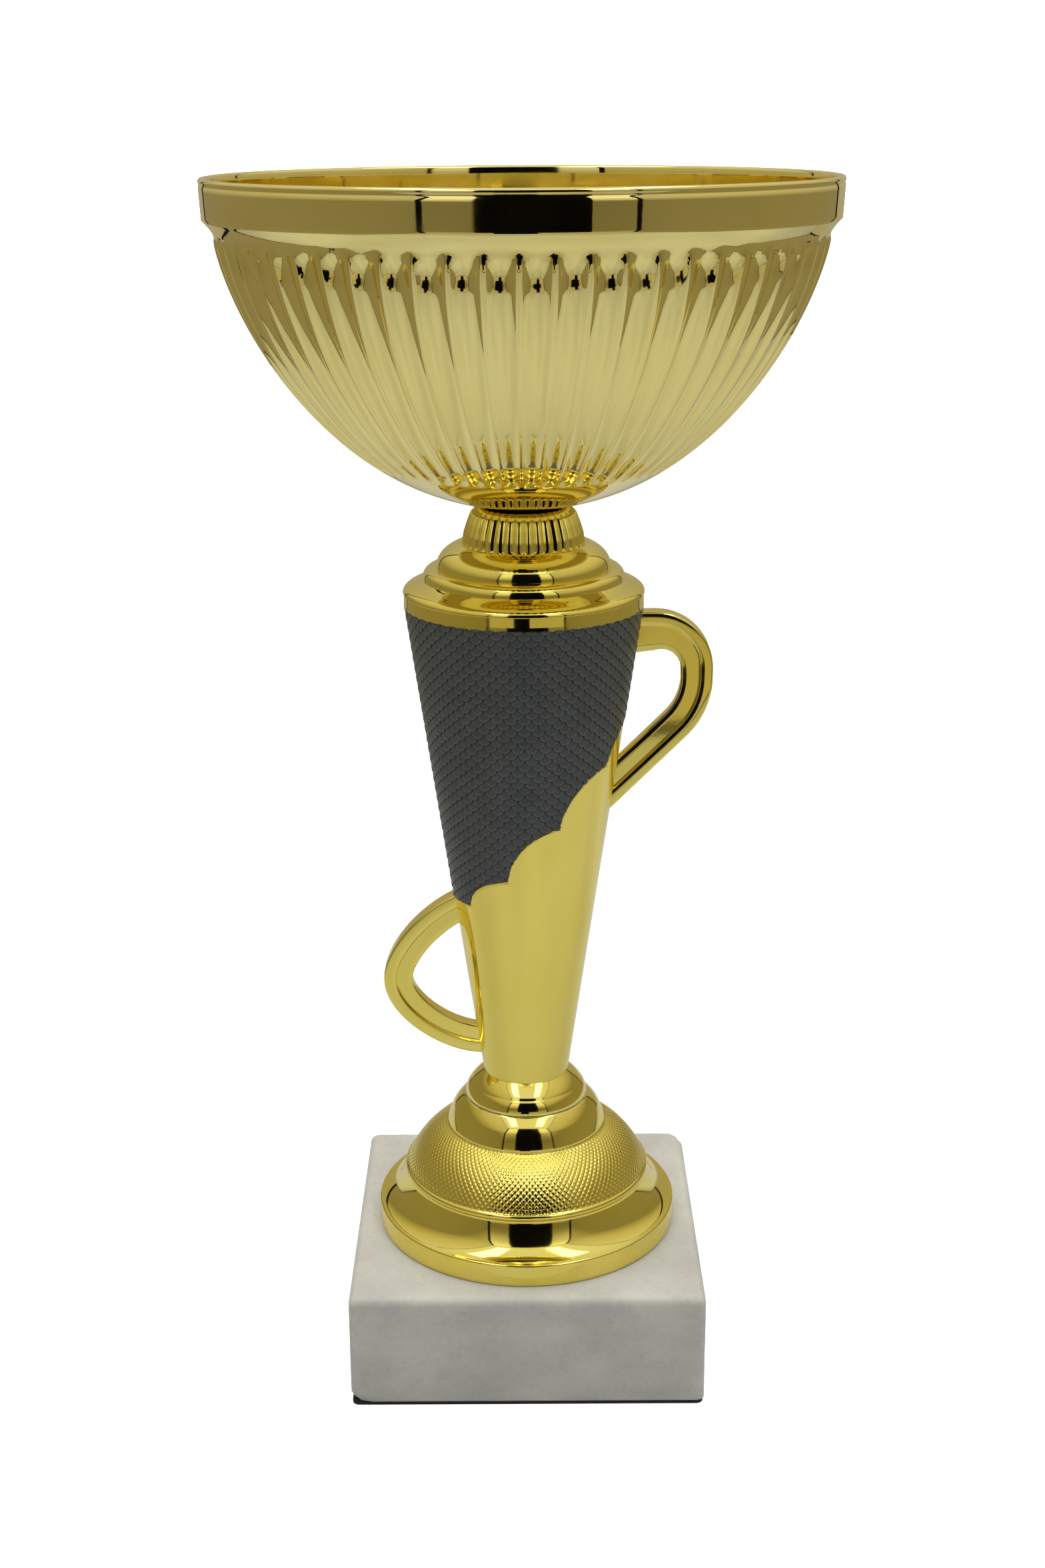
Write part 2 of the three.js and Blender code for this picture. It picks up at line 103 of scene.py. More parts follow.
def piece_from_grid(name, points, capped=False, crease=35):
    """A mesh through points[station, place, xyz].

    Each station is a closed loop of places. The stations close into a ring too, unless capped.
    """
    stations, places, _ = points.shape
    index = np.arange(stations * places).reshape(stations, places)
    across = np.roll(index, -1, axis=1)
    quads = np.stack([index, across, np.roll(across, -1, axis=0), np.roll(index, -1, axis=0)], axis=-1)
    if capped:
        quads = quads[:-1]
    faces = quads.reshape(-1, 4).tolist()
    if capped:
        faces.append(index[0].tolist())
        faces.append(index[-1][::-1].tolist())
    mesh = bpy.data.meshes.new(name)
    mesh.from_pydata((points.reshape(-1, 3) * MM).tolist(), [], faces)
    return tidy_piece(name, mesh, crease)


def round_axis(radius, angle, height):
    """Points at a distance from the axis, an angle round it and a height."""
    return np.stack(np.broadcast_arrays(radius * np.sin(angle), -radius * np.cos(angle), height), axis=-1)


def turned(name, profile, angles, shape=None, crease=35):
    """Turns a closed profile of [radius, height] rows about Z.

    shape(angle, radius, height) may change the radius and the height of every point.
    """
    angle = angles[:, None]
    radius, height = profile[:, 0][None, :], profile[:, 1][None, :]
    if shape:
        radius, height = shape(angle, radius, height)
    return piece_from_grid(name, round_axis(radius, angle, height), crease=crease)


def around(sides):
    """Equal angles round a full turn, from the camera side."""
    return np.arange(sides) * TURN / sides


def line(start, end, steps=1):
    """Points on a straight line, both ends included."""
    share = np.linspace(0, 1, steps + 1)[:, None]
    return np.array(start) + (np.array(end) - np.array(start)) * share


def bend(start, control, end, steps=12):
    """Points on a curve that leaves the start towards the control point and reaches the end from it."""
    share = np.linspace(0, 1, steps + 1)[:, None]
    start, control, end = np.array(start), np.array(control), np.array(end)
    return (1 - share) ** 2 * start + 2 * share * (1 - share) * control + share ** 2 * end


def arc(centre, radius, start, end, steps=8):
    """Points on a circle from one direction to another, in degrees counted from outwards towards up."""
    angle = np.radians(np.linspace(start, end, steps + 1))
    return np.stack([centre[0] + radius * np.cos(angle), centre[1] + radius * np.sin(angle)], axis=-1)


def outline(*stretches):
    """Joins stretches of points and drops the doubled ones where they meet."""
    points = np.vstack(stretches)
    keep = np.ones(len(points), bool)
    keep[1:] = np.linalg.norm(np.diff(points, axis=0), axis=1) > 1e-4
    return points[keep]


def span_of(stretch, profile):
    """Which places of a profile hold a stretch of points that it was joined from."""
    third = int(np.argmin(np.linalg.norm(profile - stretch[3], axis=1)))
    return slice(third - 3, third - 3 + len(stretch))


def spaced(points, spacing):
    """The same open line with points about as far apart as spacing."""
    lengths = run_of(points)
    count = max(2, int(round(lengths[-1] / spacing)) + 1)
    places = np.linspace(0, lengths[-1], count)
    return np.stack([np.interp(places, lengths, points[:, i]) for i in range(2)], axis=-1)


def run_of(points):
    """Length along an open line at each of its points."""
    steps = np.linalg.norm(np.diff(points, axis=0), axis=1)
    return np.concatenate([[0], np.cumsum(steps)])


def normals_of(points):
    """Unit normals of an open line, on the right of its direction."""
    along = np.gradient(points, axis=0)
    along /= np.linalg.norm(along, axis=1)[:, None]
    return np.stack([along[:, 1], -along[:, 0]], axis=-1)


def finish_piece(piece, material, node):
    """Gives a piece its material, hangs it under the root body and hides the CAD node that it stands for.
    """
    piece.data.materials.append(material)
    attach(piece, "root")
    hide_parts(node)


# ---------------------------------------------------------------- materials

class Nodes:
    """A short way to write a node material around one Principled shader."""

    def __init__(self, name):
        self.material = bpy.data.materials.new(name)
        self.material.use_nodes = True
        self.tree = self.material.node_tree
        self.shader = self.tree.nodes["Principled BSDF"]
        self.place = self.add("ShaderNodeTexCoord").outputs["Object"]

    def add(self, kind, **settings):
        node = self.tree.nodes.new(kind)
        for key, value in settings.items():
            setattr(node, key, value)
        return node

    def link(self, source, target):
        self.tree.links.new(source, target)

    def noise(self, size_mm, detail=3.0, roughness=0.5, stretch=(1, 1, 1)):
        """Noise whose blotches are about size_mm across, 0 to 1."""
        mapping = self.add("ShaderNodeMapping")
        mapping.inputs["Scale"].default_value = stretch
        self.link(self.place, mapping.inputs["Vector"])
        node = self.add("ShaderNodeTexNoise")
        node.inputs["Scale"].default_value = 1 / (size_mm * MM)
        node.inputs["Detail"].default_value = detail
        node.inputs["Roughness"].default_value = roughness
        self.link(mapping.outputs["Vector"], node.inputs["Vector"])
        return node.outputs["Fac"]

    def ramp(self, source, stops):
        """Colours between stops of (position, colour)."""
        node = self.add("ShaderNodeValToRGB")
        while len(node.color_ramp.elements) < len(stops):
            node.color_ramp.elements.new(0.5)
        for element, (position, color) in zip(node.color_ramp.elements, stops):
            element.position = position
            element.color = (*color, 1)
        self.link(source, node.inputs["Fac"])
        return node.outputs["Color"]

    def span(self, source, low, high, start=0.3, end=0.7):
        """Maps a source from start..end to low..high."""
        node = self.add("ShaderNodeMapRange")
        node.inputs["From Min"].default_value = start
        node.inputs["From Max"].default_value = end
        node.inputs["To Min"].default_value = low
        node.inputs["To Max"].default_value = high
        self.link(source, node.inputs["Value"])
        return node.outputs["Result"]

    def multiply(self, first, second):
        node = self.add("ShaderNodeMix", data_type="RGBA", blend_type="MULTIPLY")
        node.inputs["Factor"].default_value = 1
        self.link(first, node.inputs["A"])
        self.link(second, node.inputs["B"])
        return node.outputs["Result"]

    def bump(self, *layers):
        """Bumps on top of each other: each layer is (height 0 to 1, height in mm)."""
        normal = None
        for source, height_mm in layers:
            node = self.add("ShaderNodeBump")
            node.inputs["Strength"].default_value = 1.0
            node.inputs["Distance"].default_value = height_mm * MM
            self.link(source, node.inputs["Height"])
            if normal:
                self.link(normal, node.inputs["Normal"])
            normal = node.outputs["Normal"]
        self.link(normal, self.shader.inputs["Normal"])

    def color(self, source):
        self.link(source, self.shader.inputs["Base Color"])

    def roughness(self, source):
        self.link(source, self.shader.inputs["Roughness"])


def gold(name, pale, deep, smooth, peel_mm):
    """Bright gold plating: a mirror with a faint orange peel, slow waves and light smudges."""
    nodes = Nodes(name)
    nodes.shader.inputs["Metallic"].default_value = 1.0
    tone = nodes.ramp(nodes.noise(14, detail=2), [(0.3, pale), (0.75, deep)])
    nodes.color(tone)
    smudges = nodes.span(nodes.noise(9, detail=5, roughness=0.6), smooth, smooth + 0.07, 0.45, 0.75)
    nodes.roughness(smudges)
    waves = nodes.noise(7, detail=1)
    peel = nodes.noise(0.7, detail=2)
    nodes.bump((waves, 0.012), (peel, peel_mm))
    return nodes.material


def marble(name):
    """White sugar-grained marble, dull polished, with soft grey clouds and a few darker grains."""
    nodes = Nodes(name)
    grey, middle, white = (0.55, 0.55, 0.52), (0.61, 0.605, 0.57), (0.67, 0.665, 0.625)
    clouds = nodes.ramp(nodes.noise(13, detail=4, roughness=0.55, stretch=(1, 0.8, 1.5)),
                        [(0.32, grey), (0.5, middle), (0.66, white)])
    grain = nodes.ramp(nodes.noise(0.8, detail=5, roughness=0.75),
                       [(0.3, (0.93, 0.93, 0.92)), (0.7, (1.05, 1.05, 1.05))])
    specks = nodes.ramp(nodes.noise(2.2, detail=6, roughness=0.75),
                        [(0.6, (1, 1, 1)), (0.72, (0.84, 0.83, 0.81))])
    nodes.color(nodes.multiply(nodes.multiply(clouds, grain), specks))
    nodes.roughness(nodes.span(nodes.noise(3, detail=4), 0.30, 0.5))
    nodes.shader.inputs["Subsurface Weight"].default_value = 0.45
    nodes.shader.inputs["Subsurface Radius"].default_value = (1.0, 0.95, 0.85)
    nodes.shader.inputs["Subsurface Scale"].default_value = 0.0025
    nodes.bump((nodes.noise(2.0, detail=6, roughness=0.7), 0.02))
    return nodes.material


# The scales' groove attribute: 0 on their faces, this much for the painted highlight along their edges, and
# 1 for painted shade in the grooves.
EDGE_HIGHLIGHT = 0.35


def dark_coat(name):
    """Dark grey satin lacquer, with a painted highlight along the scales' edges and painted shade, nearly
    black, in the grooves.
    """
    nodes = Nodes(name)
    faces = nodes.ramp(nodes.noise(3.5, detail=6, roughness=0.65),
                       [(0.3, (0.066, 0.076, 0.080)), (0.7, (0.092, 0.103, 0.107))])
    groove = nodes.add("ShaderNodeAttribute", attribute_name="groove")
    # Painted light: brightens the scales' edges as a highlight and darkens their grooves as shade.
    shade = nodes.ramp(groove.outputs["Fac"],
                       [(0, (1, 1, 1)), (EDGE_HIGHLIGHT, (1.5, 1.52, 1.55)), (1, (0.06, 0.06, 0.06))])
    nodes.color(nodes.multiply(faces, shade))
    nodes.roughness(nodes.span(nodes.noise(0.5, detail=3), 0.26, 0.42))
    nodes.shader.inputs["Specular IOR Level"].default_value = 0.45
    nodes.bump((nodes.noise(0.35, detail=3), 0.018))
    return nodes.material


def steel(name):
    """Zinc plated steel with cloudy patches and faint turning marks."""
    nodes = Nodes(name)
    nodes.shader.inputs["Metallic"].default_value = 1.0
    nodes.color(nodes.ramp(nodes.noise(2.5, detail=4),
                           [(0.3, (0.50, 0.50, 0.51)), (0.7, (0.66, 0.66, 0.67))]))
    nodes.roughness(nodes.span(nodes.noise(0.8, detail=4), 0.22, 0.4))
    nodes.bump((nodes.noise(0.4, detail=3, stretch=(1, 1, 6)), 0.006))
    return nodes.material


def felt(name):
    """Nearly black felt with a short uneven nap."""
    nodes = Nodes(name)
    nodes.color(nodes.ramp(nodes.noise(0.4, detail=5, roughness=0.8),
                           [(0.35, (0.012, 0.012, 0.013)), (0.7, (0.045, 0.045, 0.048))]))
    nodes.roughness(nodes.span(nodes.noise(1.2, detail=3), 0.85, 0.98))
    nodes.bump((nodes.noise(0.25, detail=4, roughness=0.8), 0.08))
    return nodes.material


def seam_lip(name):
    """A pale greyish metal, less golden than the plating, for the thin bead round the collar's foot."""
    nodes = Nodes(name)
    nodes.shader.inputs["Metallic"].default_value = 0.85
    nodes.color(nodes.ramp(nodes.noise(1.5, detail=4),
                           [(0.3, (0.36, 0.34, 0.24)), (0.7, (0.58, 0.57, 0.47))]))
    nodes.roughness(nodes.span(nodes.noise(0.6, detail=3), 0.25, 0.45))
    nodes.bump((nodes.noise(0.3, detail=3), 0.02))
    return nodes.material


plate_gold = gold("gold plated metal", pale=(0.93, 0.80, 0.315), deep=(0.89, 0.75, 0.265),
                  smooth=0.035, peel_mm=0.0008)
plastic_gold = gold("gold on plastic", pale=(0.92, 0.765, 0.185), deep=(0.88, 0.72, 0.145),
                    smooth=0.05, peel_mm=0.0010)
stone_look = marble("white marble")
coat_look = dark_coat("dark scaled coat")
steel_look = steel("zinc plated steel")
felt_look = felt("dark felt")
lip_look = seam_lip("pale greyish edge")


# ---------------------------------------------------------------- marble block

def block_loop(kind, size, height, directions, square):
    """One level of the block: a circle of radius size, or the square moved inwards by size."""
    if kind == "circle":
        flat = size * np.stack([np.sin(directions), -np.cos(directions)], axis=-1)
    else:
        half = np.abs(square).max()
        flat = square * (half - size) / half
    return np.column_stack([flat, np.full(len(flat), height)])


def square_ring(half, corner, side_steps=26, corner_steps=6):
    """Points round a square with rounded corners, starting at the middle of the camera side."""
    ring = []
    for side in range(4):
        turn = side * TURN / 4
        across = np.array([math.cos(turn), math.sin(turn)])
        out = np.array([math.sin(turn), -math.cos(turn)])
        for share in np.linspace(-1, 1, side_steps)[:-1]:
            ring.append(out * half + across * share * (half - corner))
        for step in range(corner_steps):
            angle = step / corner_steps * TURN / 4
            centre = (out + across) * (half - corner)
            ring.append(centre + corner * (out * math.cos(angle) + across * math.sin(angle)))
    return np.array(ring)


def make_block():
    """The stone block: a counterbored hole, rounded upper edges, a slightly rough skin and two chips."""
    half, bottom, top = block_high[0], block_low[2], block_high[2]
    corner_radius, rounding, foot = 1.2, 1.5, 0.35
    square = square_ring(half, corner_radius)
    directions = np.arctan2(square[:, 0], -square[:, 1])
    counterbore, ceiling = 11, bottom + 9.5
    loops = [("circle", BORE, ceiling), ("circle", counterbore, ceiling), ("circle", counterbore, bottom)]
    loops += [("square", inset, bottom) for inset in (14, 9, 5, 2, foot)]
    loops += [("square", 0, bottom + foot)]
    loops += [("square", 0, height) for height in np.linspace(bottom + 1.5, top - rounding, 14)]
    rounding_steps = 8
    for step in range(1, rounding_steps):
        angle = step / rounding_steps * TURN / 4
        loops.append(("square", rounding * (1 - math.cos(angle)), top - rounding * (1 - math.sin(angle))))
    loops += [("square", inset, top) for inset in (rounding, 3.5, 6, 9, 12, 15)]
    loops += [("circle", BORE + 1, top)]
    points = np.stack([block_loop(*loop, directions, square) for loop in loops], axis=1)
    roughness = 0.012
    wobble = np.random.default_rng(4).normal(0, roughness, points.shape)
    outer = np.abs(points[:, :, :2]).max(axis=2) > half - rounding - 0.1
    points = points - np.abs(wobble) * np.sign(points) * outer[:, :, None]
    # Small chips: at the front left foot and at the far right corner of the top.
    for corner, sign, cut in (((-half, -half, bottom), -1, 1.512), ((half, half, top), 1, 2.184)):
        outwards = sign * np.array([0.62, 0.62, 0.48])
        beyond = (points - np.array(corner)) @ outwards + cut
        points = points - np.clip(beyond, 0, None)[:, :, None] * outwards
    return piece_from_grid("marble_block", points, crease=30)


finish_piece(make_block(), stone_look, "marble_base")


# ---------------------------------------------------------------- riser: flange with knurled ring, collar

KNURL_COUNT = 116
KNURL_PITCH = 1.15
KNURL_DEPTH = 0.12
# Half width of a groove, as a share of the pitch.
KNURL_GROOVE = 0.12
POINTS_PER_KNURL = 8


def make_flange():
    """The wide moulding on the block: a flange, a cove, the knurled ring and a plain dome above it."""
    radius, bottom = flange_high[0], flange_low[2]
    edge_top = bottom + 4
    knurl_low, knurl_high = bottom + 10.68, bottom + 18.28
    centre, bulge = np.array([7.1, bottom + 4.68]), 15.2
    start, end = (math.degrees(math.asin((z - centre[1]) / bulge)) for z in (knurl_low, knurl_high))
    knurl = spaced(arc(centre, bulge, start, end, 60), KNURL_PITCH / POINTS_PER_KNURL)
    foot, crown = knurl[0], knurl[-1]
    before = outline(
        line((radius - 2, bottom), (radius - 0.15, bottom)),
        line((radius, bottom + 0.15), (radius, edge_top - 0.35), 6),
        arc((radius - 0.35, edge_top - 0.35), 0.35, 0, 75, 4),
        bend((radius - 0.5, edge_top + 0.03), (23.9, bottom + 4.75), (22.9, bottom + 6.1), 10),
        bend((22.9, bottom + 6.1), (21.9, bottom + 7.6), (foot[0] + 0.12, bottom + 9.45), 8),
        arc((foot[0] - 0.15, bottom + 10.1), 0.62, -60, 60, 8),
    )
    after = outline(
        line(crown + (-0.05, 0.05), crown + (-0.03, 0.4), 2),
        bend(crown + (-0.02, 0.45), (13.35, bottom + 20.4), (12.75, bottom + 21.55), 10),
        bend((12.7, bottom + 21.65), (12.0, bottom + 22.75), (10.75, RISER_TOP - 0.05), 8),
        line((10.6, RISER_TOP), (BORE, RISER_TOP)),
        line((BORE, RISER_TOP - 2), (10.8, RISER_TOP - 2.3)),
        line((17.6, knurl_low + 2), (19.2, bottom + 8)),
        line((24.1, bottom + 2.6), (24.1, bottom)),
    )
    profile = outline(before, knurl, after)
    span = span_of(knurl, profile)
    run, normal = run_of(knurl), normals_of(knurl)

    def knurling(angle, radius, height):
        """Sinks two sets of crossing grooves into the ring, fading out at its edges."""
        radius, height = radius + 0 * angle, height + 0 * angle
        across = angle / TURN * KNURL_COUNT
        up = run[None, :] / KNURL_PITCH
        groove = 0
        for diagonal in (across + up, across - up):
            off = np.abs((diagonal + 0.5) % 1 - 0.5)
            groove = np.maximum(groove, np.exp(-(off / KNURL_GROOVE) ** 2))
        fade = 0.3
        ends = np.clip(np.minimum(run, run[-1] - run) / fade, 0, 1)[None, :]
        depth = KNURL_DEPTH * groove * ends
        radius[:, span] -= depth * normal[:, 0]
        height[:, span] -= depth * normal[:, 1]
        return radius, height

    return turned("knurled_flange", profile, around(KNURL_COUNT * POINTS_PER_KNURL), knurling, crease=50)


def make_collar():
    """The small stepped dome between the riser and the column."""
    bottom, top, radius = collar_low[2], collar_high[2], collar_high[0]
    profile = outline(
        line((8.6, bottom), (radius - 0.1, bottom)),
        line((radius, bottom + 0.1), (radius, bottom + 0.3)),
        bend((radius, bottom + 0.3), (10.45, bottom + 1.6), (9.55, bottom + 2.5), 12),
        bend((9.5, bottom + 2.6), (8.8, bottom + 3.55), (7.35, top), 10),
        line((BORE, top), (BORE, top - 2)),
        line((6.4, top - 2.6), (8.5, bottom + 0.1)),
    )
    return turned("collar_dome", profile, around(160))


def make_seam_lip():
    """The thin greyish bead round the collar's foot."""
    height, radius, thickness = RISER_TOP + CLEARANCE, collar_high[0] - 0.06, 0.2
    profile = arc((radius, height), thickness, 0, 315, 7)
    return turned("collar_seam", profile, around(160))


finish_piece(make_flange(), plastic_gold, "base_flange")
finish_piece(make_collar(), plastic_gold, "stem_collar")
finish_piece(make_seam_lip(), lip_look, "stem_collar")


# ---------------------------------------------------------------- column and its dark scaled coat

TAPER_TOP = COLUMN_TOP - 0.95
FOOT_RADIUS = 7.42
HEAD_RADIUS = 19.65
TAPER = (HEAD_RADIUS - FOOT_RADIUS) / (TAPER_TOP - COLUMN_BOTTOM)
COAT_TOP = coat_high[2]
# Corners of the coat's scalloped lower edge: degrees from the upper handle, height below the coat's top.
SCALLOPS = np.array([[0, 18.8], [31.5, 25.5], [66, 34.9], [101.5, 44.3], [137, 50.1], [180, 51.4]])
ROUNDNESS = 1.8
SCALE_WIDTH = 2.22
SCALE_ROW = 1.025


def column_radius(height):
    return FOOT_RADIUS + TAPER * (height - COLUMN_BOTTOM)


def coat_edge(angle):
    """Height of the coat's lower edge at an angle from the camera side."""
    turned_by = np.degrees((np.asarray(angle) - math.pi / 2 + math.pi) % TURN - math.pi)
    off = np.abs(turned_by)
    low = np.clip(np.searchsorted(SCALLOPS[:, 0], off), 1, len(SCALLOPS) - 1)
    high_at, high_drop = np.moveaxis(SCALLOPS[low - 1], -1, 0)
    low_at, low_drop = np.moveaxis(SCALLOPS[low], -1, 0)
    share = np.clip((off - high_at) / (low_at - high_at), 0, 1)
    rise = (1 - share ** ROUNDNESS) ** (1 / ROUNDNESS)
    return COAT_TOP - low_drop + (low_drop - high_drop) * rise


def sleeve(name, angles, low, high, outer, thickness, rows):
    """A thin sleeve round the column between two edges, each a height for every angle.

    outer(height) is the radius of its outer face, and thickness is how far its back lies inside the cone.
    """
    share = np.linspace(0, 1, rows)[None, :]
    height = low[:, None] + (high - low)[:, None] * share
    back = column_radius(height[:, ::-1]) - thickness
    radius = np.hstack([outer(height), back])
    height = np.hstack([height, height[:, ::-1]])
    return piece_from_grid(name, round_axis(radius, angles[:, None], height))


def make_gold_cone():
    """The plain gold cone below the coat."""
    angles = around(360)
    low = np.full(len(angles), COLUMN_BOTTOM)
    high = coat_edge(angles) + 0.05
    return sleeve("column_gold", angles, low, high, column_radius, thickness=1.4, rows=40)


def make_coat_ground():
    """The smooth dark sleeve that closes the gaps between the scales."""
    angles = around(360)
    low = coat_edge(angles) - 0.1
    high = np.full(len(angles), COAT_TOP + 0.25)
    sunk = 0.14

    def outer(height):
        return column_radius(height) - sunk

    return sleeve("coat_ground", angles, low, high, outer, thickness=0.8, rows=60)


def scale_places():
    """Middles of the scales, in staggered rows on the flattened cone, and the sine of the cone's slope.

    Each middle is (angle, distance from the cone's tip).
    """
    slope = math.sin(math.atan(TAPER))
    reach = column_radius(COAT_TOP) / slope
    rows = int(reach / SCALE_ROW) + 2
    places = []
    for face in (0, math.pi):
        for row in range(rows):
            down = -row * SCALE_ROW
            for column in range(-20, 21):
                across = (column + 0.5 * (row % 2)) * SCALE_WIDTH
                angle = math.atan2(across, -down + 1e-9) / slope
                distance = math.hypot(across, down)
                height = COLUMN_BOTTOM + (distance * slope - FOOT_RADIUS) / TAPER
                if abs(angle) > math.pi / 2 + 0.02 or height > COAT_TOP + 1.0:
                    continue
                if height < coat_edge(angle + face) - 0.9:
                    continue
                places.append((angle + face, distance))
    return np.array(places), slope


def make_scales():
    """Every scale is a small tilted disc whose lower edge stands proud over the row below it."""
    places, slope = scale_places()
    size, sides = SCALE_WIDTH / 2 * 1.02, 18
    # Rings round a scale's middle: share of its size, how far it is raised, and its groove attribute, which
    # paints a highlight on the edge and shade in the groove.
    # The last one is buried under the coat's ground.
    rings = [(0.55, 0, 0), (0.78, 0.02, 0.2), (0.86, 0.02, EDGE_HIGHLIGHT), (0.925, -0.05, 1), (1, -0.12, 1),
             (0.99, 0, 1)]
    shares, raised, darkness = np.array(rings).T
    turn = around(sides)
    across = np.concatenate([[0], np.outer(size * shares, np.sin(turn)).ravel()])
    down = np.concatenate([[0], np.outer(size * shares, np.cos(turn)).ravel()])
    thickness, tilt, buried, out_of_sight = 0.03, 0.21, -0.3, -0.35
    lift = thickness + tilt * down / size + np.concatenate([[0], np.repeat(raised, sides)])
    lift[-sides:] = buried
    distance = places[:, 1:] - down[None, :]
    angle = places[:, :1] + across[None, :] / np.maximum(distance, 1) / slope
    height = COLUMN_BOTTOM + (distance * slope - FOOT_RADIUS) / TAPER
    edge = coat_edge(angle)
    hidden = (height < edge + 0.05) | (height > COAT_TOP + 0.15)
    height = np.clip(height, edge - 0.1, COAT_TOP + 0.3)
    radius = column_radius(height) + np.where(hidden, out_of_sight, lift[None, :])
    points = round_axis(radius, angle, height)
    faces = []
    per_scale = len(across)
    around_ring = [(i, (i + 1) % sides) for i in range(sides)]
    for number in range(len(places)):
        start = number * per_scale
        faces += [(start, start + 1 + i, start + 1 + j) for i, j in around_ring]
        for ring in range(len(rings) - 1):
            here, below = start + 1 + ring * sides, start + 1 + (ring + 1) * sides
            faces += [(here + i, below + i, below + j, here + j) for i, j in around_ring]
        faces.append(tuple(start + per_scale - 1 - i for i in range(sides)))
    mesh = bpy.data.meshes.new("coat_scales")
    mesh.from_pydata((points.reshape(-1, 3) * MM).tolist(), [], faces)
    piece = tidy_piece("coat_scales", mesh, 50)
    # The painted highlight and painted shade of one scale, stored as its groove attribute.
    one_scale = np.concatenate([[0], np.repeat(darkness, sides)])
    groove = piece.data.attributes.new("groove", "FLOAT", "POINT")
    groove.data.foreach_set("value", np.tile(one_scale, len(places)))
    return piece


def make_head_band():
    """The plain gold band above the coat, with a ragged lower edge where the lacquer stops."""
    angles = around(1440)
    notches = 28
    fine = 0.03 * np.random.default_rng(9).normal(0, 1, len(angles))
    ragged = 0.16 * np.abs(np.sin(angles * notches)) ** 0.7 + fine
    low = COAT_TOP - 0.12 + ragged
    high = np.full(len(angles), COLUMN_TOP)

    def outer(height):
        flared, flare = 0.5, 0.06
        return HEAD_RADIUS + flare * np.clip((COAT_TOP + flared - height) / flared, 0, 1)

    return sleeve("column_head_band", angles, low, high, outer, thickness=1.2, rows=16)


def make_coat_lip():
    """A fine raised gold bead that follows the coat's scalloped edge."""
    angles = around(1440)
    height = coat_edge(angles)
    sunk, half_height, half_width = 0.06, 0.17, 0.27
    centre = round_axis(column_radius(height) - sunk, angles, height)
    along = np.roll(centre, -1, axis=0) - np.roll(centre, 1, axis=0)
    along /= np.linalg.norm(along, axis=1)[:, None]
    out = round_axis(1, angles, -TAPER)
    out -= (out * along).sum(axis=1)[:, None] * along
    out /= np.linalg.norm(out, axis=1)[:, None]
    side = np.cross(along, out)
    ring = around(8)
    points = (centre[:, None, :]
              + half_height * np.cos(ring)[None, :, None] * out[:, None, :]
              + half_width * np.sin(ring)[None, :, None] * side[:, None, :])
    return piece_from_grid("coat_edge_bead", points, crease=70)


finish_piece(make_gold_cone(), plastic_gold, "column")
finish_piece(make_head_band(), plastic_gold, "column")
finish_piece(make_coat_lip(), plastic_gold, "column")
finish_piece(make_coat_ground(), coat_look, "column_coat")
finish_piece(make_scales(), coat_look, "column_coat")


# ---------------------------------------------------------------- handles

RIM_WIDTH = 2.1
# Half thicknesses of an arm, at its rim and in the flat web beside it.
RIM_HALF = upper_high[1] - 0.4
WEB_HALF = 1.35


def handle_section(width):
    """Cross-section of an arm, with a raised rim along its outer edge.

    Its points are [distance inwards from the outer edge, sideways].
    """
    web, rim = WEB_HALF, RIM_HALF
    soft, step, fillet, inner = 0.38, 0.15, 0.2, 0.3
    half = outline(
        line((0, 0), (0, rim - soft), 2),
        arc((soft, rim - soft), soft, 180, 90, 5),
        line((soft, rim), (RIM_WIDTH - step, rim), 2),
        arc((RIM_WIDTH - step, rim - step), step, 90, 0, 3),
        line((RIM_WIDTH, rim - step), (RIM_WIDTH + 0.04, web + fillet + 0.02)),
        arc((RIM_WIDTH + 0.05 + fillet, web + fillet), fillet, 180, 270, 3),
        line((RIM_WIDTH + 0.1 + fillet, web), (width - inner, web), 3),
        arc((width - inner, web - inner), inner, 90, 0, 4),
    )
    mirrored = half[::-1] * (1, -1)
    return outline(half, line((width, 0), (width, 0)), mirrored[:-1])


def sweep_handle(name, edge, width, flare, mirrored):
    """Sweeps the arm's section along its outer edge. The flare widens the arm towards its upper root."""
    step, flared_share = 0.45, 0.42
    edge = spaced(edge, step)
    inwards = normals_of(edge)
    share = run_of(edge) / run_of(edge)[-1]
    widths = width + flare * np.clip(1 - share / flared_share, 0, None) ** 1.5
    stations = []
    for point, normal, size in zip(edge, inwards, widths):
        section = handle_section(size)
        flat = point + section[:, :1] * normal
        stations.append(np.column_stack([flat[:, 0], section[:, 1], flat[:, 1]]))
    points = np.array(stations)
    if mirrored:
        points[:, :, 0] *= -1
    return piece_from_grid(name, points, capped=True, crease=40)


def upper_edge():
    """Outer edge of the upper arm: straight out, round a corner and an elbow, and slanting back down."""
    top, reach = upper_high[2] - 0.25, upper_high[0] - 0.1
    corner, elbow = 9.5, 14
    elbow_height = top - 11.2
    tip = np.array([reach - elbow + elbow * math.sqrt(0.5), elbow_height - elbow * math.sqrt(0.5)])
    run = tip[0] - 12.5
    return outline(
        line((17, top), (reach - corner, top), 8),
        arc((reach - corner, top - corner), corner, 90, 0, 40),
        arc((reach - elbow, elbow_height), elbow, 0, -45, 30),
        line(tip, tip - (run, run), 20),
    )


